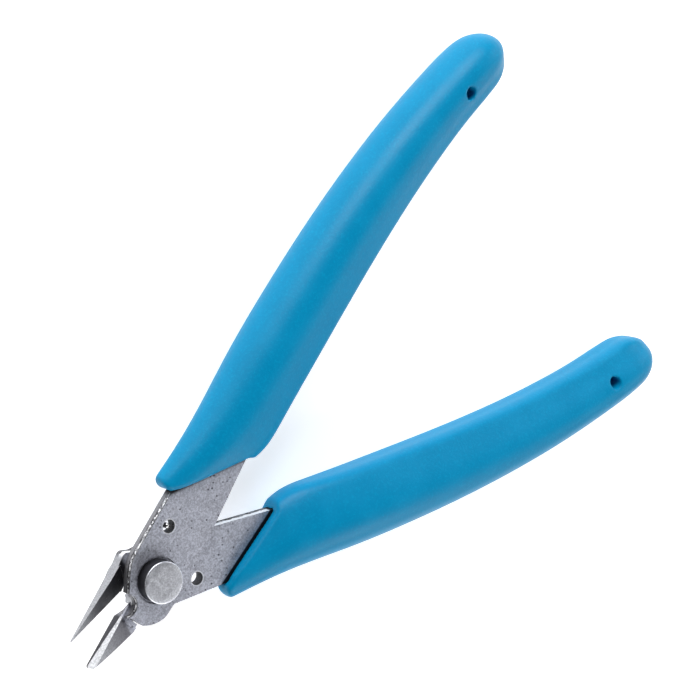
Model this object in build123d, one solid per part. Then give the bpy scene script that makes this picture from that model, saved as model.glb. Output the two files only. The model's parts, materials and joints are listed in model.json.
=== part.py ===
from build123d import *
import math
import os

# Micro diagonal cutting pliers, millimetres.  Z is the pivot axis with the
# rivet head up, X runs along the tool with the handles at +X, and the front
# half's handle leaves on the +Y side.  The tool is drawn open, at its stop.
# Each half is drawn closed first, with its own handle at +V, then turned open.

# ---- driving dimensions ----
OPEN_ANGLE = 8.13          # turn of each half from closed to open, degrees
PLATE = 2.1                # thickness of each flat stamped half
LAP_GAP = 0.03             # running gap between the two halves
CUT_GAP = 0.03             # each cutting edge stops this far off the centre line
HEAD_ANGLE = 21.0          # the jaws lie on a plane raised by this angle
TIP_U = -17.93             # tip, distance ahead of the pivot
TIP_Z = 2.77               # height of that plane at the tip, above the lap face
SHANK_R = 2.4              # rivet shank
BORE_PLAY = 0.03           # radial play of the turning half on the rivet
HEAD_R = 3.55              # rivet head
HEAD_H = 2.25              # rivet head above the front half
SPOT_R = 3.95              # spot face that the head sits in
SPOT_DEPTH = 0.35
TAIL_R = 3.3               # formed end of the rivet
TAIL_H = 0.9
SMALL_HOLE = (7.32, 5.02)  # stamped through hole beside the rivet in each half
SMALL_HOLE_R = 1.1
ANCHOR = (7.0, 0.2)        # blind hole in the back half for the spring's other end
ANCHOR_R = 0.5
WIRE_R = 0.45              # return spring wire
COIL_R = 3.5               # bend of the wire round the rivet
POCKET = 0.55              # depth of the spring pocket in each lap face
GRIP_HEIGHT = 5.9          # from the lap plane to the crest of the grip
MOUTH_ROUND = 0.8          # rounding of the grip's mouth edge
TETHER_R = 1.15            # through hole near the end of each grip
TETHER = (96.55, 18.4)

HALF_SLOPE = math.tan(math.radians(HEAD_ANGLE))

# Final frame: the middle of the tool's box sits on the origin, on the floor.
SHIFT_X = -43.805
SHIFT_Y = 0.0
SHIFT_Z = 5.918


def prism(points, z0, z1):
    """Straight-sided block over a plan polygon."""
    face = make_face(Polyline(*points, close=True))
    return extrude(Pos(0, 0, z0) * face, amount=z1 - z0)


def side_prism(points, v0, v1):
    """Block with a side profile given as (u, z), from v0 to v1."""
    rim = Polyline(*[(u, v0, z) for u, z in points], close=True)
    return extrude(make_face(rim), amount=v1 - v0, dir=(0, 1, 0))


def head_plane_z(u):
    """Height of the raised flat underside of the jaws."""
    return TIP_Z - HALF_SLOPE * (u - TIP_U)


def below_plane(base, du, dv):
    """Big block under the plane z = base + du*u + dv*v."""
    corners = [(-30, -20), (30, -20), (30, 20), (-30, 20)]
    top = [(u, v, base + du * u + dv * v) for u, v in corners]
    low = [(u, v, -40) for u, v in corners]
    faces = [make_face(Polyline(*top, close=True))]
    faces.append(make_face(Polyline(*low, close=True)))
    for i in range(4):
        j = (i + 1) % 4
        faces.append(make_face(Polyline(top[i], top[j], low[j], low[i], close=True)))
    return Solid(Shell(faces))


def middle_line(u):
    """Centre line of a grip, closed: a gentle S bending out from the pivot."""
    s = (u - 60) / 50
    return 14.85 + 9.55 * s - 3.86 * s ** 2 - 2.04 * s ** 3


def middle_slope(u):
    s = (u - 60) / 50
    return (9.55 - 7.72 * s - 6.12 * s ** 2) / 50


def beside(u, offset):
    """Plan point at a distance to the outer side of the centre line."""
    turn = math.atan(middle_slope(u))
    return (u - offset * math.sin(turn), middle_line(u) + offset * math.cos(turn))


def tang_edge():
    """Outer edge of a half, then the narrow tang hidden in the grip."""
    outer = [beside(40, 4.3), beside(60, 4.1), beside(80, 3.8), beside(93, 3.5)]
    inner = [beside(93, -3.5), beside(80, -3.8), beside(60, -4.1), beside(40, -4.3)]
    return outer, inner


def plate_outline(cheek, jaw_side):
    """Flat half from jaw root to tang end; cheek and jaw_side close it."""
    outer, inner = tang_edge()
    end = (101.3, 19.2)
    with BuildSketch() as sketch:
        with BuildLine():
            Line((1.07, 6.34), (20.0, 10.72))
            Spline((20.0, 10.72), *outer, tangents=[(1, 0.231), (1, 0.06)])
            ThreePointArc(outer[-1], end, inner[0])
            Spline(*inner, (31.5, 4.59), tangents=[(-1, -0.06), (-1, -0.329)])
            Line((31.5, 4.59), (1.4, -5.32))
            Spline((1.4, -5.32), *jaw_side[:3], tangents=[(-1, -0.329), (-1, 0.75)])
            Polyline(*jaw_side[2:], *cheek)
            Spline(cheek[-1], (-0.18, 6.02), (1.07, 6.34), tangents=[(1, 0.9), (1, 0.231)])
        make_face()
    return sketch.sketch


def leg_points(hole, sign):
    """Spring leg line: from its tangent on the bend to its hole."""
    u, v = hole
    lead = math.atan2(v, u) + math.acos(COIL_R / math.hypot(u, v))
    start = (COIL_R * math.cos(lead), sign * COIL_R * math.sin(lead))
    return start, (u, sign * v)


def turned(point, degrees):
    a = math.radians(degrees)
    x, y = point
    return (x * math.cos(a) - y * math.sin(a), x * math.sin(a) + y * math.cos(a))


def slot(start, stop, radius, z0, z1):
    """Round-ended straight slot."""
    length = math.dist(start, stop)
    angle = math.degrees(math.atan2(stop[1] - start[1], stop[0] - start[0]))
    place = Pos((start[0] + stop[0]) / 2, (start[1] + stop[1]) / 2, z0) * Rot(0, 0, angle)
    return extrude(place * SlotCenterToCenter(length, 2 * radius), amount=z1 - z0)


def spring_pocket(own, other, z0, z1):
    """Recess that clears the spring in every position of the other half."""
    pocket = extrude(Pos(0, 0, z0) * Circle(COIL_R + WIRE_R + 0.35), amount=z1 - z0)
    start, stop = leg_points(own, 1)
    pocket += slot(start, stop, WIRE_R + 0.25, z0, z1)
    for step in range(5):
        swing = -2 * OPEN_ANGLE * step / 4
        other_start, other_stop = leg_points(other, -1)
        pocket += slot(turned(other_start, swing), turned(other_stop, swing),
                       WIRE_R + 0.35, z0, z1)
    return pocket


def front_half_closed():
    """Half with the raised handle and the lower jaw, lap face at z = 0."""
    cheek = [(-7.6, -0.64), (-8.0, 0.9), (-5.15, 2.0)]
    jaw_side = [(-1.0, -5.5), (-3.0, -5.8), (-5.9, -4.6), (-6.81, -3.64), (-7.29, -1.4)]
    plate = extrude(Pos(0, 0, LAP_GAP) * plate_outline(cheek, jaw_side), amount=PLATE - LAP_GAP)
    # round relief notch behind the jaw, open to the other half's side
    plate -= extrude(Pos(-6.57, 0.99, -1) * Circle(1.95), amount=5)
    tip = [(-5.0, -CUT_GAP), (-17.9, -CUT_GAP), (-18.15, -0.25), (-17.7, -0.95)]
    flank = [(-15.7, -1.75), (-12.7, -2.85), (-10.2, -3.7), (-8.2, -4.35), (-6.2, -4.5)]
    root = [(-5.2, -4.0), (-4.6, -2.0)]
    jaw = prism(tip + flank + root, -4, 6)
    # side profile: under the lap face, down to the raised flat, out to the tip
    low = [(-4.0, LAP_GAP), (-6.9, LAP_GAP), (-8.5, head_plane_z(-8.5)), (-19, head_plane_z(-19))]
    jaw &= side_prism(low + [(-19, 6), (-4.0, 6)], -12, 3)
    # ground facets: one falling to the outside, one to the cutting edge
    jaw &= below_plane(-1.55, -0.313, 0.234)
    jaw &= below_plane(-1.30, -0.246, -0.565)
    # sloping shoulder between plate and jaw
    shoulder = prism([(-6.9, -3.95), (-7.9, -3.75), (-8.45, -1.1), (-7.5, -0.9)], LAP_GAP, 1.3)
    body = plate + jaw
    body += shoulder & below_plane(-1.55 + 0.35, -0.313, 0.234)
    body -= extrude(Pos(0, 0, -1) * Circle(SHANK_R + BORE_PLAY), amount=6)
    body -= extrude(Pos(0, 0, PLATE - SPOT_DEPTH) * Circle(SPOT_R), amount=3)
    body -= extrude(Pos(*SMALL_HOLE, -1) * Circle(SMALL_HOLE_R), amount=6)
    body -= spring_pocket(SMALL_HOLE, ANCHOR, -1, POCKET)
    body -= extrude(Pos(*TETHER, -1) * Circle(TETHER_R), amount=6)
    return body


def back_half_closed():
    """Half with the fixed handle and the upper jaw, lap face on top at z = 0."""
    cheek = [(-5.1, -CUT_GAP), (-4.55, 0.6), (-4.6, 1.5), (-5.0, 2.2)]
    jaw_side = [(-1.0, -5.6), (-2.2, -6.2), (-4.3, -4.95), (-5.0, -4.0), (-5.0, -2.0)]
    plate = extrude(Pos(0, 0, -PLATE) * plate_outline(cheek, jaw_side), amount=PLATE)
    flank = [(-17.9, -0.14), (-12.5, -1.92), (-6.8, -3.8), (-4.3, -4.95)]
    jaw = prism([(-3.8, -CUT_GAP), (-17.93, -CUT_GAP)] + flank + [(-3.8, -4.9)], -4, 6)
    low = [(-3.0, -PLATE), (-5.25, -PLATE), (-19, head_plane_z(-19))]
    jaw &= side_prism(low + [(-19, 6), (-3.0, 6)], -12, 3)
    # single hollow-ground face falling from the outer ridge to the cutting edge
    rise = head_plane_z(0) + 0.25
    jaw &= below_plane(rise, -HALF_SLOPE, -0.49)
    hollow = prism([(-4.0, 1.0), (-9.0, 1.0), (-9.0, -6.5), (-4.0, -6.5)], -4, 1)
    hollow -= below_plane(rise, -HALF_SLOPE, -0.49)
    body = (plate - hollow) + jaw
    body -= side_prism([(-19, -6), (-5.25, -6), (-5.25, -PLATE), (-19, head_plane_z(-19))], -12, 3)
    body -= extrude(Pos(0, 0, -4) * Circle(SHANK_R), amount=6)
    body -= extrude(Pos(*SMALL_HOLE, -4) * Circle(SMALL_HOLE_R), amount=6)
    body -= extrude(Pos(*ANCHOR, -PLATE + 0.3) * Circle(ANCHOR_R), amount=6)
    body -= spring_pocket(ANCHOR, SMALL_HOLE, -POCKET, 1)
    body -= extrude(Pos(*TETHER, -4) * Circle(TETHER_R), amount=6)
    return body


def section_points(half, height):
    """Egg-shaped section: narrow inner edge at -w, broad round outer side at +w."""
    crest = 0.12 * half
    edge = 0.70 * height
    corner = min(2.6, 0.9 * edge, 0.5 * half)
    upper = []
    for t in (25, 50, 72, 90):
        a = math.radians(t)
        upper.append((crest + (half - crest) * math.cos(a), height * math.sin(a)))
    for t in (108, 135, 162):
        a = math.radians(t)
        upper.append((-half + corner + corner * math.cos(a), edge - corner + corner * math.sin(a)))
    w, z = upper[4]
    upper.insert(4, ((w + crest) / 2, (z + height) / 2 + 0.06 * height))
    lower = [(w, -z) for w, z in reversed(upper)]
    return [(half, 0)] + upper + [(-half, 0)] + lower


def grip_section(outer, inner, height, z):
    """Upright section from its inner to its outer plan point."""
    across = Vector(outer[0] - inner[0], outer[1] - inner[1], 0)
    half = across.length / 2
    place = Plane(origin=((outer[0] + inner[0]) / 2, (outer[1] + inner[1]) / 2, z),
                  x_dir=across.normalized(), z_dir=across.normalized().cross(Vector(0, 0, 1)))
    rim = Spline(*section_points(half, height), periodic=True)
    return place * make_face(rim)


def half_width(u):
    s = (u - 60) / 50
    return 6.52 - 1.27 * s - 1.07 * s ** 2 + 0.69 * s ** 3


def grip_body(side):
    """Moulded grip before the tang is taken out: thin slanted mouth, domed end."""
    tang = side * PLATE / 2
    mouth = [((8.2, 11.2), (23.8, 1.5), 2.6, 0.8), ((13.5, 12.2), (28.2, 0.95), 3.5, 0.8),
             ((20.5, 13.1), (31.3, 1.25), 4.5, 0.5), ((27.5, 14.5), (35.0, 2.2), 5.2, 0.2),
             ((34.8, 16.3), (40.0, 3.5), 5.7, 0.03)]
    sections = [grip_section(o, i, h, tang * share) for o, i, h, share in mouth]
    for u in (47, 56, 66, 76, 86, 95):
        w = half_width(u)
        sections.append(grip_section(beside(u, w), beside(u, -w), GRIP_HEIGHT, 0))
    for u in (102, 104.8, 107, 108.5, 109.2):
        k = math.sqrt(max(0, 1 - ((u - 102) / 7.35) ** 2))
        w = half_width(102) * k
        sections.append(grip_section(beside(u, w), beside(u, -w), (GRIP_HEIGHT - 0.1) * k, 0))
    return loft(sections)


def mouth_outline():
    """Plan of the slanted mouth: long outer nose, soft bulge on the inside."""
    with BuildSketch() as sketch:
        with BuildLine():
            ThreePointArc((13.0, 12.55), (11.1, 10.2), (12.8, 8.3))
            Line((12.8, 8.3), (24.3, 2.95))
            Spline((24.3, 2.95), (26.3, 0.9), (29.0, 0.0), (32.0, -1.0),
                   tangents=[(1, -0.46), (1, -0.3)])
            Polyline((32.0, -1.0), (32.0, -15), (125, -15), (125, 45), (13.6, 45),
                     (13.6, 12.9), (13.0, 12.55))
        make_face()
    return sketch.sketch


def grip_closed(side, tang):
    """Finished grip: mouth cut and rounded, tang space, tether hole."""
    body = grip_body(side) & extrude(Pos(0, 0, -12) * mouth_outline(), amount=24)
    mouth = [e for e in body.edges() if e.bounding_box().max.X < 35]
    body = fillet(mouth, MOUTH_ROUND)
    body -= tang
    body -= extrude(Pos(*TETHER, -12) * Circle(TETHER_R), amount=24)
    return body


def rivet():
    """Big flat head in front, plain shank, smaller formed head behind."""
    top = PLATE + HEAD_H
    head_low = PLATE - SPOT_DEPTH + LAP_GAP
    end = -PLATE - TAIL_H
    with BuildSketch(Plane.XZ) as sketch:
        with BuildLine():
            Polyline((0, end), (TAIL_R - 0.7, end))
            ThreePointArc((TAIL_R - 0.7, end), (TAIL_R - 0.2, end + 0.2), (TAIL_R, end + 0.7))
            Polyline((TAIL_R, end + 0.7), (TAIL_R, -PLATE), (SHANK_R, -PLATE),
                     (SHANK_R, head_low), (HEAD_R, head_low), (HEAD_R, top - 0.25),
                     (HEAD_R - 0.2, top), (0, top), (0, end))
        make_face()
    return revolve(sketch.sketch, Axis.Z, 360)


def spring():
    """Bent music wire: a leg in each half, joined round the rivet shank."""
    bend = 0.6
    ends = []
    for hole, sign, depth in ((SMALL_HOLE, 1, PLATE - 0.35), (ANCHOR, -1, PLATE - 0.4)):
        start, stop = leg_points(hole, sign)
        start = turned(start, sign * OPEN_ANGLE)
        stop = turned(stop, sign * OPEN_ANGLE)
        reach = math.dist(start, stop)
        along = ((stop[0] - start[0]) / reach, (stop[1] - start[1]) / reach)
        knee = (stop[0] - bend * along[0], stop[1] - bend * along[1])
        near = (stop[0] - 0.293 * bend * along[0], stop[1] - 0.293 * bend * along[1])
        ends.append([(*stop, sign * depth), (*stop, sign * bend),
                     (*near, sign * 0.293 * bend), (*knee, 0), (*start, 0)])
    front, back = ends
    with BuildLine() as path:
        Line(front[0], front[1])
        ThreePointArc(front[1], front[2], front[3])
        Line(front[3], front[4])
        ThreePointArc(front[4], (-COIL_R, 0, 0), back[4])
        Line(back[4], back[3])
        ThreePointArc(back[3], back[2], back[1])
        Line(back[1], back[0])
    section = Plane(origin=front[0], z_dir=(0, 0, -1)) * Circle(WIRE_R)
    return sweep(section, path=path.line)


def opened(shape, side):
    """Turn a closed half to the open stop; side -1 is the mirrored half."""
    if side < 0:
        shape = mirror(shape, about=Plane.XZ)
    return Rot(0, 0, side * OPEN_ANGLE) * shape


def save(shape, name):
    placed = Pos(SHIFT_X, SHIFT_Y, SHIFT_Z) * shape
    export_step(placed, f"parts/{name}.step")


def main():
    os.makedirs("parts", exist_ok=True)
    front = front_half_closed()
    back = back_half_closed()
    save(opened(front, 1), "front_half")
    save(opened(back, -1), "back_half")
    save(opened(grip_closed(1, front), 1), "front_grip")
    save(opened(grip_closed(-1, back), -1), "back_grip")
    save(rivet(), "pivot_rivet")
    save(spring(), "return_spring")


main()
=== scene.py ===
import bpy
import bmesh
import json
import math
from mathutils import Matrix, Vector


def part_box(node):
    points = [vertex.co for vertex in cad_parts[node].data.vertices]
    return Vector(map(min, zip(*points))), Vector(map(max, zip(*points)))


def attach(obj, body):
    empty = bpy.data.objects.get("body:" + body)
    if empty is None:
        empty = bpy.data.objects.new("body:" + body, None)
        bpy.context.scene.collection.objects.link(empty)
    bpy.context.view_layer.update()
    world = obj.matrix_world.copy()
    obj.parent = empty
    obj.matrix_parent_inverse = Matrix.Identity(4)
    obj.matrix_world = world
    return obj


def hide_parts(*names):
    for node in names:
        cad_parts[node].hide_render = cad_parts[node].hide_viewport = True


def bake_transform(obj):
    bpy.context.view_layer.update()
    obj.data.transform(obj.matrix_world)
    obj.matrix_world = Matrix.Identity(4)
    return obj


# Micro diagonal cutting pliers, in metres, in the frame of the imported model.  Each
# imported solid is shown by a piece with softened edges: two blasted steel halves on
# a turned rivet, two moulded grips and the bent wire spring between the halves.

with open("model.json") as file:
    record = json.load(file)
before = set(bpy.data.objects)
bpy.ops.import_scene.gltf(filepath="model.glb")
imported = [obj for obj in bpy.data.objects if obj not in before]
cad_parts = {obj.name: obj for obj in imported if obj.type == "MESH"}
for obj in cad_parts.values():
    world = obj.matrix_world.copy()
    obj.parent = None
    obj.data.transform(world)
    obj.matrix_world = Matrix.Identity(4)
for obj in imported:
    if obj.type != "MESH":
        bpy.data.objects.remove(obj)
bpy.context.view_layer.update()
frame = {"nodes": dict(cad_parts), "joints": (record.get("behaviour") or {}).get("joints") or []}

# ---------- dimensions ----------
MM = 0.001
PIVOT = Vector(frame["joints"][0]["pos_m"])    # on the face where the halves meet
OPEN_ANGLE = 8.13                              # turn of each half from closed, degrees
PLATE = 2.1 * MM                               # thickness of each half
SPOT_FLOOR = 1.78 * MM                         # underside of the rivet head above the meeting face
SHANK_R = 2.4 * MM                             # rivet shank
TAIL_R = 3.3 * MM                              # formed end of the rivet
SMALL_HOLE = (6.54 * MM, 6.0 * MM)             # hole beside the rivet, from the pivot, tool open
SMALL_HOLE_R = 1.13 * MM
RIM_HIGHLIGHT_R = 1.32 * MM                             # painted highlight round that hole's rim
LIP_LINE = ((12.8, 8.3), (24.3, 2.95))         # mouth of a grip on its half, closed, mm
FRONT_ROOT = 8.4 * MM                          # where each jaw starts, ahead of the pivot
BACK_ROOT = 2.8 * MM
MOUTH_END = 27 * MM                            # how far the steel shows, behind the pivot
EDGE_BREAK = 0.07 * MM                         # softening of the steel's edges
GRIP_VOXEL = 0.22 * MM                         # mesh size of the mouldings

# name, azimuth, elevation, size and power of each softbox
LIGHTS = [
    ("left_low", 100, 12, 0.5, 1.3),
    ("left_back", 70, 28, 0.5, 8.0),
    ("right", -90, 28, 0.5, 3.0),
    ("right_front", -130, 30, 0.5, 3.3),
    ("right_back", -45, 25, 0.5, 1.4),
    ("back", 0, 28, 0.5, 2.0),
]
LIGHT_DISTANCE = 0.9
AMBIENT = 0.02
FLOOR_GLOW = 0.62
FLOOR_HALF = 3.0


# ---------- node helpers ----------
def new_material(name):
    """Material with its node tree and shader."""
    mat = bpy.data.materials.new(name)
    mat.use_nodes = True
    return mat, mat.node_tree, mat.node_tree.nodes["Principled BSDF"]


def rgb(red, green, blue):
    return (red, green, blue, 1)


def plug(tree, target, value):
    """Sets a socket from a number, a colour or another node's output."""
    if isinstance(value, bpy.types.NodeSocket):
        tree.links.new(value, target)
    else:
        target.default_value = value


def texture(tree, kind, scale, at, **values):
    """Noise or Voronoi texture at the given coordinates; scale is cells per metre."""
    node = tree.nodes.new(kind)
    tree.links.new(at, node.inputs["Vector"])
    node.inputs["Scale"].default_value = scale
    for key, value in values.items():
        node.inputs[key].default_value = value
    return node


def noise(tree, scale, at, detail=3.0, rough=0.55):
    node = texture(tree, "ShaderNodeTexNoise", scale, at, Detail=detail, Roughness=rough)
    return node.outputs["Fac"]


def ramp(tree, value, low, high, to_low=0.0, to_high=1.0):
    """Smooth clamped mapping of a value from low..high to to_low..to_high."""
    node = tree.nodes.new("ShaderNodeMapRange")
    node.interpolation_type = "SMOOTHSTEP"
    for key, item in (("Value", value), ("From Min", low), ("From Max", high),
                      ("To Min", to_low), ("To Max", to_high)):
        plug(tree, node.inputs[key], item)
    return node.outputs["Result"]


def calc(tree, how, a, b=0.0):
    node = tree.nodes.new("ShaderNodeMath")
    node.operation = how
    plug(tree, node.inputs[0], a)
    plug(tree, node.inputs[1], b)
    return node.outputs[0]


def blend_colour(tree, factor, a, b):
    node = tree.nodes.new("ShaderNodeMix")
    node.data_type = "RGBA"
    plug(tree, node.inputs["Factor"], factor)
    plug(tree, node.inputs["A"], a)
    plug(tree, node.inputs["B"], b)
    return node.outputs["Result"]


def bump(tree, height, distance, strength=1.0, below=None):
    """Bump on top of an earlier one, if there is one below."""
    node = tree.nodes.new("ShaderNodeBump")
    node.inputs["Strength"].default_value = strength
    node.inputs["Distance"].default_value = distance
    tree.links.new(height, node.inputs["Height"])
    if below is not None:
        tree.links.new(below, node.inputs["Normal"])
    return node.outputs["Normal"]


def object_point(tree):
    """Point of the surface, in metres, that stays with the piece as it moves."""
    return tree.nodes.new("ShaderNodeTexCoord").outputs["Object"]


def parts_of(tree, vector):
    node = tree.nodes.new("ShaderNodeSeparateXYZ")
    tree.links.new(vector, node.inputs[0])
    return node.outputs


def surface_normal(tree):
    """X, Y and Z of the true surface normal."""
    return parts_of(tree, tree.nodes.new("ShaderNodeNewGeometry").outputs["True Normal"])


def steepness(tree, normal, flat, wall):
    """1 on upright walls, 0 on level faces; flat and wall are the normal's heights."""
    return ramp(tree, calc(tree, "ABSOLUTE", normal[2]), wall, flat, 1.0, 0.0)


# ---------- materials ----------
def soft_grip():
    """Satin blue soft moulding with fine grain and a faint cloudiness."""
    mat, tree, shader = new_material("blue_soft_grip")
    at = object_point(tree)
    grain = noise(tree, 2300.0, at, 3.0, 0.7)
    cloud = noise(tree, 170.0, at, 4.0)
    speck = texture(tree, "ShaderNodeTexVoronoi", 1500.0, at).outputs["Distance"]
    base = blend_colour(tree, ramp(tree, cloud, 0.3, 0.7),
                        rgb(0.0, 0.232, 0.452), rgb(0.0, 0.250, 0.482))
    base = blend_colour(tree, ramp(tree, speck, 0.06, 0.16, 0.35, 0.0), base, rgb(0.0, 0.20, 0.39))
    base = blend_colour(tree, ramp(tree, grain, 0.48, 0.68, 0.0, 0.35), base, rgb(0.0, 0.345, 0.590))
    tree.links.new(base, shader.inputs["Base Color"])
    tree.links.new(ramp(tree, cloud, 0.3, 0.75, 0.36, 0.44), shader.inputs["Roughness"])
    shader.inputs["Specular IOR Level"].default_value = 0.16
    relief = bump(tree, grain, 0.030 * MM, 0.8)
    relief = bump(tree, cloud, 0.10 * MM, 0.3, relief)
    tree.links.new(relief, shader.inputs["Normal"])
    return mat


def blasted_face(tree, grain, mottle, pit):
    """Colour of the bead-blasted faces: speckled grey with small dark pits."""
    base = blend_colour(tree, ramp(tree, grain, 0.38, 0.64),
                        rgb(0.36, 0.37, 0.43), rgb(0.61, 0.63, 0.71))
    base = blend_colour(tree, ramp(tree, mottle, 0.35, 0.7, 0.0, 0.35), base, rgb(0.55, 0.57, 0.64))
    return blend_colour(tree, calc(tree, "MULTIPLY", pit, 0.85), base, rgb(0.08, 0.08, 0.09))


def blanked_edge(tree, at, normal, torn, front):
    """Colour of the stamped edge walls, by height above the meeting face; on the back half it holds a
    painted highlight.
    """
    wobble = calc(tree, "MULTIPLY", calc(tree, "SUBTRACT", torn, 0.5), 1.2 * MM)
    height = parts_of(tree, at)[2]
    level = calc(tree, "SUBTRACT", calc(tree, "ADD", height, wobble), PIVOT.z)
    edge = blend_colour(tree, ramp(tree, torn, 0.40, 0.60), rgb(0.03, 0.03, 0.035), rgb(0.30, 0.30, 0.32))
    if front:
        # smeared lower part, then a broken bright line under the top face
        smear = ramp(tree, level, 0.80 * MM, 1.05 * MM, 0.85, 0.0)
        edge = blend_colour(tree, smear, edge, rgb(0.34, 0.34, 0.36))
        line = calc(tree, "MULTIPLY", ramp(tree, level, 1.25 * MM, 1.40 * MM),
                    ramp(tree, level, 1.70 * MM, 1.85 * MM, 1.0, 0.0))
        breaks = ramp(tree, noise(tree, 1900.0, at, 2.0), 0.44, 0.54)
        line = calc(tree, "MULTIPLY", line, breaks)
    else:
        # painted highlight: on the back half the upper part of walls turned to +Y, towards the key light,
        # is painted bright
        line = calc(tree, "MULTIPLY", ramp(tree, level, -1.25 * MM, -0.95 * MM),
                    ramp(tree, normal[1], 0.2, 0.5))
    return blend_colour(tree, line, edge, rgb(0.92, 0.93, 0.95))


def small_hole(tree, base, x, y, side):
    """Painted shade inside the small hole, with a painted highlight round its rim."""
    across = calc(tree, "POWER", calc(tree, "SUBTRACT", x, PIVOT.x + SMALL_HOLE[0]), 2.0)
    along = calc(tree, "POWER", calc(tree, "SUBTRACT", y, PIVOT.y + SMALL_HOLE[1] * side), 2.0)
    away = calc(tree, "ADD", across, along)
    rim_highlight = calc(tree, "MULTIPLY", calc(tree, "LESS_THAN", away, RIM_HIGHLIGHT_R ** 2), 0.6)
    base = blend_colour(tree, rim_highlight, base, rgb(0.80, 0.82, 0.86))
    hole_shade = calc(tree, "MULTIPLY", calc(tree, "LESS_THAN", away, SMALL_HOLE_R ** 2), 0.95)
    return blend_colour(tree, hole_shade, base, rgb(0.04, 0.04, 0.045))


def lip_shade(tree, x, y, side):
    """Mask of the painted shade along the grip's lip: 1 where the plate runs under the lip of its grip, 0
    on the open plate.
    """
    turn = Matrix.Rotation(math.radians(OPEN_ANGLE) * side, 2)
    start, stop = [turn @ Vector((u * MM, v * MM * side)) for u, v in LIP_LINE]
    run = (stop - start).normalized()
    inwards = Vector((-run.y, run.x)) * side
    past_lip = calc(tree, "ADD",
               calc(tree, "MULTIPLY", calc(tree, "SUBTRACT", x, PIVOT.x + start.x), inwards.x),
               calc(tree, "MULTIPLY", calc(tree, "SUBTRACT", y, PIVOT.y + start.y), inwards.y))
    if side > 0:
        return ramp(tree, past_lip, -0.9 * MM, -0.1 * MM)
    return ramp(tree, past_lip, -0.75 * MM, -0.45 * MM)


def ground_jaw(tree, x, normal, upright, grain, front):
    """Colour of the ground jaw with light and shade painted in: painted shade towards the root, a painted
    highlight on faces turned to +Y, and on the front half painted shade on the upright faces.
    """
    # painted shade: darker towards the root, lighter towards the tip
    along = ramp(tree, x, PIVOT.x - 17.0 * MM, PIVOT.x - 8.0 * MM, 1.0, 0.0)
    if front:
        facet = blend_colour(tree, along, rgb(0.16, 0.16, 0.18), rgb(0.42, 0.43, 0.46))
        # painted highlight on faces turned to +Y, towards the key light
        facet = blend_colour(tree, ramp(tree, normal[1], 0.1, 0.3), facet, rgb(0.74, 0.75, 0.78))
        # painted shade on the upright faces, which face the other jaw
        facet = blend_colour(tree, upright, facet, rgb(0.07, 0.07, 0.08))
    else:
        # painted shade near the root, near black on the back half
        facet = blend_colour(tree, along, rgb(0.03, 0.03, 0.035), rgb(0.46, 0.47, 0.50))
        # faces turned to +Y are painted lighter, as lit
        facet = blend_colour(tree, ramp(tree, normal[1], 0.05, 0.25), facet, rgb(0.50, 0.51, 0.54))
    return blend_colour(tree, ramp(tree, grain, 0.40, 0.62, 0.30, 0.0), facet, rgb(0.05, 0.05, 0.06))


def hollow_face(tree, x, normal):
    """1 on the hollow-ground face of the back half, which runs on behind its jaw."""
    leaning = calc(tree, "MULTIPLY", ramp(tree, normal[1], -0.3, -0.15, 1.0, 0.0),
                   ramp(tree, normal[2], 0.3, 0.5))
    return calc(tree, "MULTIPLY", leaning, ramp(tree, x, PIVOT.x, PIVOT.x - 3 * MM))


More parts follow.
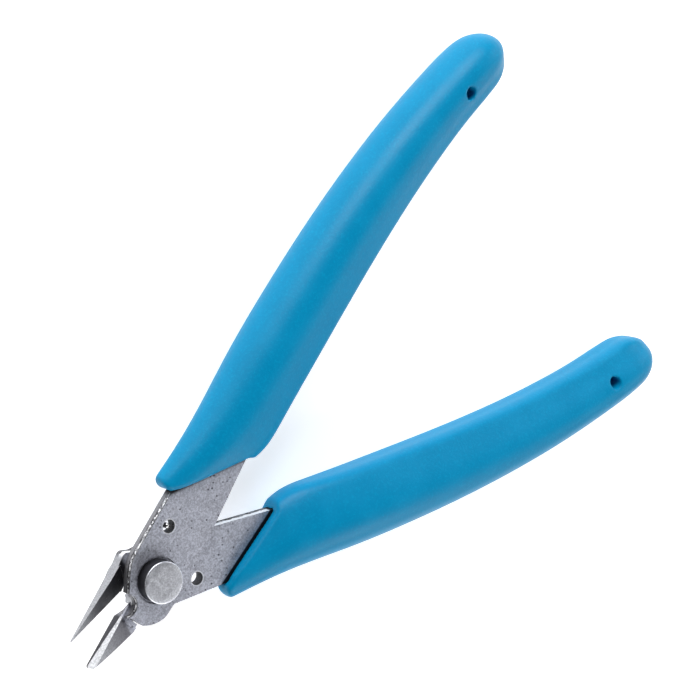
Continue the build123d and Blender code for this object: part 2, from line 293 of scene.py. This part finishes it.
def blasted_steel(name, front):
    """Bead-blasted plate of one half, with blanked edges and a ground jaw, and with painted shade and
    painted highlights in its colour.
    """
    side = 1 if front else -1
    mat, tree, shader = new_material(name)
    at = object_point(tree)
    x, y, z = parts_of(tree, at)
    normal = surface_normal(tree)
    upright = steepness(tree, normal, 0.5, 0.25)
    root = PIVOT.x - (FRONT_ROOT if front else BACK_ROOT)
    jaw = ramp(tree, x, root, root + 1.0 * MM, 1.0, 0.0)
    wall = calc(tree, "MULTIPLY", upright, calc(tree, "SUBTRACT", 1.0, jaw))
    if not front:
        # the hollow face takes the jaw's colour, so the painted shade near the root lies on it too
        jaw = calc(tree, "MAXIMUM", jaw, hollow_face(tree, x, normal))

    grain = noise(tree, 3300.0, at, 2.0, 0.7)
    mottle = noise(tree, 900.0, at, 4.0, 0.65)
    torn = noise(tree, 1500.0, at, 4.0, 0.7)
    cells = texture(tree, "ShaderNodeTexVoronoi", 1350.0, at)
    chosen = ramp(tree, parts_of(tree, cells.outputs["Color"])[0], 0.72, 0.88)
    pit = calc(tree, "MULTIPLY", ramp(tree, cells.outputs["Distance"], 0.14, 0.34, 1.0, 0.0), chosen)

    base = blasted_face(tree, grain, mottle, pit)
    base = blend_colour(tree, wall, base, blanked_edge(tree, at, normal, torn, front))
    # painted shade in the small hole and a painted highlight round its rim
    base = small_hole(tree, base, x, y, side)
    # jaw colour, with its painted shade and painted highlights
    base = blend_colour(tree, jaw, base, ground_jaw(tree, x, normal, upright, grain, front))
    # painted shade: the plate is painted near black along and under the grip's lip
    base = blend_colour(tree, lip_shade(tree, x, y, side), base, rgb(0.02, 0.02, 0.022))
    tree.links.new(base, shader.inputs["Base Color"])
    shader.inputs["Metallic"].default_value = 1.0
    dull = ramp(tree, mottle, 0.3, 0.75, 0.54, 0.70)
    dull = calc(tree, "SUBTRACT", dull, calc(tree, "MULTIPLY", jaw, 0.12))
    tree.links.new(dull, shader.inputs["Roughness"])

    # grinding lines run across the jaw faces
    stretch = tree.nodes.new("ShaderNodeMapping")
    stretch.inputs["Scale"].default_value = (7000.0, 400.0, 400.0)
    tree.links.new(at, stretch.inputs["Vector"])
    lines = calc(tree, "MULTIPLY", noise(tree, 1.0, stretch.outputs["Vector"], 2.0), jaw)
    relief = bump(tree, grain, 0.030 * MM, 0.8)
    relief = bump(tree, calc(tree, "SUBTRACT", 1.0, pit), 0.06 * MM, 0.9, relief)
    relief = bump(tree, calc(tree, "MULTIPLY", torn, wall), 0.20 * MM, 0.9 if front else 0.25, relief)
    relief = bump(tree, lines, 0.012 * MM, 0.6, relief)
    tree.links.new(relief, shader.inputs["Normal"])
    return mat


def turned_steel():
    """Tumbled rivet: lighter, smoother, with faint rings on its face; its upright side is painted near
    black as painted shade and dark reflection.
    """
    mat, tree, shader = new_material("tumbled_rivet_steel")
    at = object_point(tree)
    x, y, z = parts_of(tree, at)
    side_shade = steepness(tree, surface_normal(tree), 0.6, 0.3)
    dx = calc(tree, "SUBTRACT", x, PIVOT.x)
    squares = calc(tree, "ADD", calc(tree, "MULTIPLY", dx, dx), calc(tree, "MULTIPLY", y, y))
    radius = calc(tree, "SQRT", squares)
    mottle = noise(tree, 1500.0, at, 4.0, 0.65)
    grain = noise(tree, 3400.0, at, 2.0, 0.6)
    phase = calc(tree, "ADD", calc(tree, "MULTIPLY", radius, 14000.0), calc(tree, "MULTIPLY", mottle, 6.0))
    ring = calc(tree, "SINE", phase)
    base = blend_colour(tree, ramp(tree, mottle, 0.32, 0.68),
                        rgb(0.72, 0.74, 0.80), rgb(0.88, 0.90, 0.96))
    base = blend_colour(tree, ramp(tree, grain, 0.42, 0.60, 0.35, 0.0), base, rgb(0.42, 0.43, 0.47))
    base = blend_colour(tree, ramp(tree, ring, 0.2, 1.0, 0.0, 0.08), base, rgb(0.45, 0.46, 0.50))
    # painted shade and dark reflection: the rivet's upright side is painted near black
    base = blend_colour(tree, side_shade, base, rgb(0.05, 0.05, 0.055))
    tree.links.new(base, shader.inputs["Base Color"])
    shader.inputs["Metallic"].default_value = 1.0
    tree.links.new(ramp(tree, mottle, 0.3, 0.75, 0.40, 0.52), shader.inputs["Roughness"])
    relief = bump(tree, ring, 0.002 * MM, 0.3)
    relief = bump(tree, grain, 0.012 * MM, 0.6, relief)
    tree.links.new(relief, shader.inputs["Normal"])
    return mat


def drawn_wire():
    """Bright music wire with fine drawing marks."""
    mat, tree, shader = new_material("drawn_music_wire")
    marks = noise(tree, 4000.0, object_point(tree), 3.0)
    base = blend_colour(tree, ramp(tree, marks, 0.3, 0.7),
                        rgb(0.62, 0.62, 0.63), rgb(0.80, 0.80, 0.81))
    tree.links.new(base, shader.inputs["Base Color"])
    shader.inputs["Metallic"].default_value = 1.0
    tree.links.new(ramp(tree, marks, 0.3, 0.7, 0.22, 0.36), shader.inputs["Roughness"])
    tree.links.new(bump(tree, marks, 0.004 * MM, 0.5), shader.inputs["Normal"])
    return mat


# ---------- pieces ----------
def welded(node):
    """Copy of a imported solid's mesh with its vertices joined."""
    bm = bmesh.new()
    bm.from_mesh(frame["nodes"][node].data)
    bmesh.ops.remove_doubles(bm, verts=bm.verts, dist=2e-6)
    return bm


def place(name, data):
    """New object in the scene."""
    thing = bpy.data.objects.new(name, data)
    bpy.context.scene.collection.objects.link(thing)
    return thing


def as_piece(bm, name, material, node, body, crease=None):
    """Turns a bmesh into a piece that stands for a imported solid."""
    mesh = bpy.data.meshes.new(name)
    bm.to_mesh(mesh)
    bm.free()
    mesh.shade_smooth()
    if crease is not None:
        mesh.set_sharp_from_angle(angle=math.radians(crease))
    mesh.materials.append(material)
    piece = place(name, mesh)
    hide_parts(node)
    if body is not None:
        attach(piece, body)
    return piece


def plate_piece(node, body, material):
    """Stamped half: every exposed sharp edge gets a small soft break."""
    bm = welded(node)
    bmesh.ops.dissolve_limit(bm, angle_limit=math.radians(0.4), verts=bm.verts, edges=bm.edges)
    sharp = []
    for edge in bm.edges:
        if len(edge.link_faces) != 2 or edge.calc_face_angle(0) < math.radians(24):
            continue
        middle = (edge.verts[0].co + edge.verts[1].co) / 2
        if middle.x - PIVOT.x < MOUTH_END:
            sharp.append(edge)
    bmesh.ops.bevel(bm, geom=sharp, offset=EDGE_BREAK, offset_type="OFFSET", segments=2,
                    profile=0.55, affect="EDGES", clamp_overlap=True)
    piece = as_piece(bm, node + "_plate", material, node, body, 32)
    weighted = piece.modifiers.new("flat_faces", "WEIGHTED_NORMAL")
    weighted.weight = 100
    weighted.keep_sharp = True


def grip_piece(node, body, material):
    """Moulded grip with a softly rounded lip and hole rims."""
    bm = welded(node)
    packed = bpy.data.meshes.new("grip_source")
    bm.to_mesh(packed)
    bm.free()
    source = place("grip_source", packed)
    remesh = source.modifiers.new("remesh", "REMESH")
    remesh.mode = "VOXEL"
    remesh.voxel_size = GRIP_VOXEL
    soften = source.modifiers.new("soften", "SMOOTH")
    soften.factor = 0.5
    soften.iterations = 5
    view = bpy.context.evaluated_depsgraph_get()
    shaped = bpy.data.meshes.new_from_object(source.evaluated_get(view))
    bpy.data.objects.remove(source)
    bm = bmesh.new()
    bm.from_mesh(shaped)
    as_piece(bm, node + "_moulding", material, node, body)


def rounded_corner(r, z, radius, quarter, steps=6):
    """Profile points of a quarter round about (r, z), turning clockwise."""
    points = []
    for i in range(steps + 1):
        a = math.radians(90 * (quarter + 1 - i / steps))
        points.append((r + radius * math.cos(a), z + radius * math.sin(a)))
    return points


def rivet_profile():
    """Radius and height from the middle of the head's face down to the formed end."""
    low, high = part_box("pivot_rivet")
    top, end = high[2], low[2]
    head = (high[0] - low[0]) / 2
    seat, back = PIVOT.z + SPOT_FLOOR, PIVOT.z - PLATE
    head_round, tail_round, small = 0.24 * MM, 0.45 * MM, 0.05 * MM
    profile = [(0.0, top - 0.02 * MM), (head * 0.5, top - 0.005 * MM)]
    profile += rounded_corner(head - head_round, top - head_round, head_round, 0)
    profile += rounded_corner(head - small, seat + small, small, 3, 3)
    profile += [(SHANK_R, seat), (SHANK_R, back), (TAIL_R - small, back)]
    profile += rounded_corner(TAIL_R - small, back - small, small, 0, 3)
    profile += rounded_corner(TAIL_R - tail_round, end + tail_round, tail_round, 3)
    return profile + [(0.0, end)]


def lathe_ring(bm, r, z, around):
    """One ring of a turned shape about the pivot, or its single middle point."""
    if r == 0.0:
        return [bm.verts.new((PIVOT.x, PIVOT.y, z))]
    angles = [2 * math.pi * i / around for i in range(around)]
    return [bm.verts.new((PIVOT.x + r * math.cos(a), PIVOT.y + r * math.sin(a), z)) for a in angles]


def rivet_piece(material, around=144):
    """Rivet turned as one profile: soft rims on the head and the formed end."""
    bm = bmesh.new()
    rings = [lathe_ring(bm, r, z, around) for r, z in rivet_profile()]
    for upper, lower in zip(rings, rings[1:]):
        for i in range(around):
            j = (i + 1) % around
            loop = [upper[i % len(upper)], lower[i % len(lower)],
                    lower[j % len(lower)], upper[j % len(upper)]]
            bm.faces.new([v for k, v in enumerate(loop) if v not in loop[:k]])
    bmesh.ops.recalc_face_normals(bm, faces=bm.faces)
    as_piece(bm, "pivot_rivet_turned", material, "pivot_rivet", "back_side", 40)


def spring_piece(material):
    """Bent wire that flexes between the two halves round the pivot in the real tool; this piece is a fixed
    mesh.
    """
    piece = as_piece(welded("return_spring"), "return_spring_wire", material,
                     "return_spring", None, 50)
    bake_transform(piece)


# ---------- camera, light, floor ----------
def make_camera():
    """Camera above the jaws' side, looking down along the tool."""
    data = bpy.data.cameras.new("photo_camera")
    data.sensor_width = 36
    data.lens = 112.79
    data.clip_start, data.clip_end = 0.01, 20
    camera = place("photo_camera", data)
    turn = (Matrix.Rotation(0.7342992, 4, "Z") @ Matrix.Rotation(-0.6306746, 4, "X")
            @ Matrix.Rotation(-1.3533052, 4, "Z"))
    where = PIVOT + Vector((-0.0960807, 0.1707034, 0.3018071))
    camera.matrix_world = Matrix.Translation(where) @ turn
    bpy.context.scene.camera = camera


def softbox(name, azimuth, elevation, size, power):
    """Square area light on a sphere round the tool, aimed at its middle."""
    a, e = math.radians(azimuth), math.radians(elevation)
    away = Vector((math.cos(a) * math.cos(e), math.sin(a) * math.cos(e), math.sin(e)))
    data = bpy.data.lights.new(name, "AREA")
    data.shape = "RECTANGLE"
    data.size = data.size_y = size
    data.energy = power
    light = place(name, data)
    light.rotation_mode = "QUATERNION"
    light.location = away * LIGHT_DISTANCE
    light.rotation_quaternion = away.to_track_quat("Z", "Y")


def make_floor():
    """Plain pale floor with a soft glow, as on a lit table."""
    mesh = bpy.data.meshes.new("floor")
    corners = [(-1, -1), (1, -1), (1, 1), (-1, 1)]
    mesh.from_pydata([(FLOOR_HALF * x, FLOOR_HALF * y, 0) for x, y in corners], [], [(0, 1, 2, 3)])
    floor = place("floor", mesh)
    mat, tree, shader = new_material("pale_floor")
    shader.inputs["Base Color"].default_value = rgb(0.80, 0.80, 0.80)
    shader.inputs["Roughness"].default_value = 0.9
    shader.inputs["Emission Color"].default_value = rgb(1, 1, 1)
    shader.inputs["Emission Strength"].default_value = FLOOR_GLOW
    mesh.materials.append(mat)


def make_light():
    """Even white world, the softboxes and a plain view transform."""
    world = bpy.data.worlds.new("studio")
    bpy.context.scene.world = world
    world.use_nodes = True
    background = world.node_tree.nodes["Background"]
    background.inputs["Color"].default_value = rgb(1, 1, 1)
    background.inputs["Strength"].default_value = AMBIENT
    for light in LIGHTS:
        softbox(*light)
    bpy.context.scene.view_settings.view_transform = "Standard"


blue = soft_grip()
plate_piece("front_half", "front_side", blasted_steel("blasted_steel_front", True))
plate_piece("back_half", "back_side", blasted_steel("blasted_steel_back", False))
grip_piece("front_grip", "front_side", blue)
grip_piece("back_grip", "back_side", blue)
rivet_piece(turned_steel())
spring_piece(drawn_wire())
make_camera()
make_floor()
make_light()
